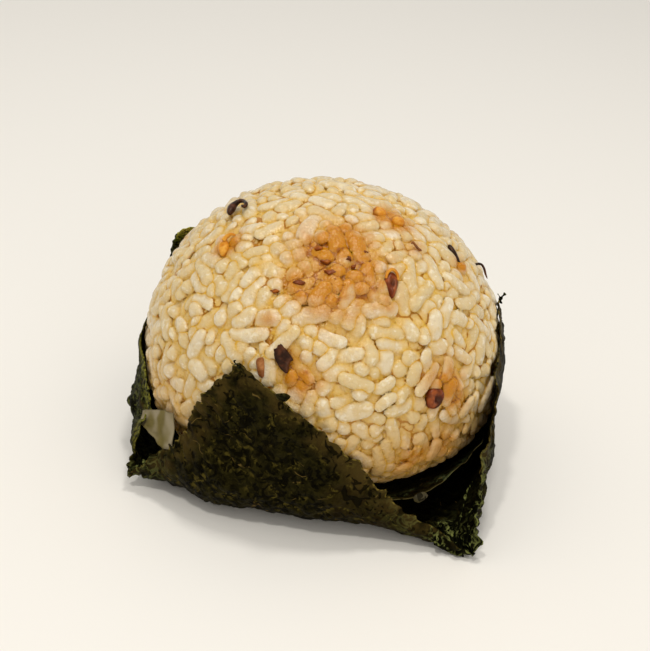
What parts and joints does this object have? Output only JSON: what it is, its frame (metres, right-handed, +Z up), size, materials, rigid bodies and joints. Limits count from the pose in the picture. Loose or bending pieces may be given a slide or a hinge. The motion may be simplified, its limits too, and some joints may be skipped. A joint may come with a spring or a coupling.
{
  "type": "onigiri rice ball",
  "caption": "Round rice ball with dark grains and a soy-stained crown, standing in an open square of nori whose corners are folded up round it.",
  "frame": {"origin": "middle of the flat spot of nori that the parcel rests on", "axes": "+Z up through the crown of the ball; -Y toward the side where the nori is folded lowest and the rice shows most"},
  "size_m": [0.0765, 0.0768, 0.0554],
  "materials": {
    "rice": "moist cooked short-grain rice, cream with honey-coloured crevices, darker soy stains and a few dark brown grains; soft sheen with small bright glints",
    "nori": "toasted nori, green-black with brown fibres and olive flecks, wrinkled, torn rims that show brown where thin; satin sheen",
    "nori_inner": "inner nori layer, dark green-brown, softened and a little translucent where it clings to the rice"
  },
  "bodies": {
    "root": {"rice_ball": "rice", "nori_sheet": "nori", "nori_liner": "nori_inner"}
  },
  "joints": []
}
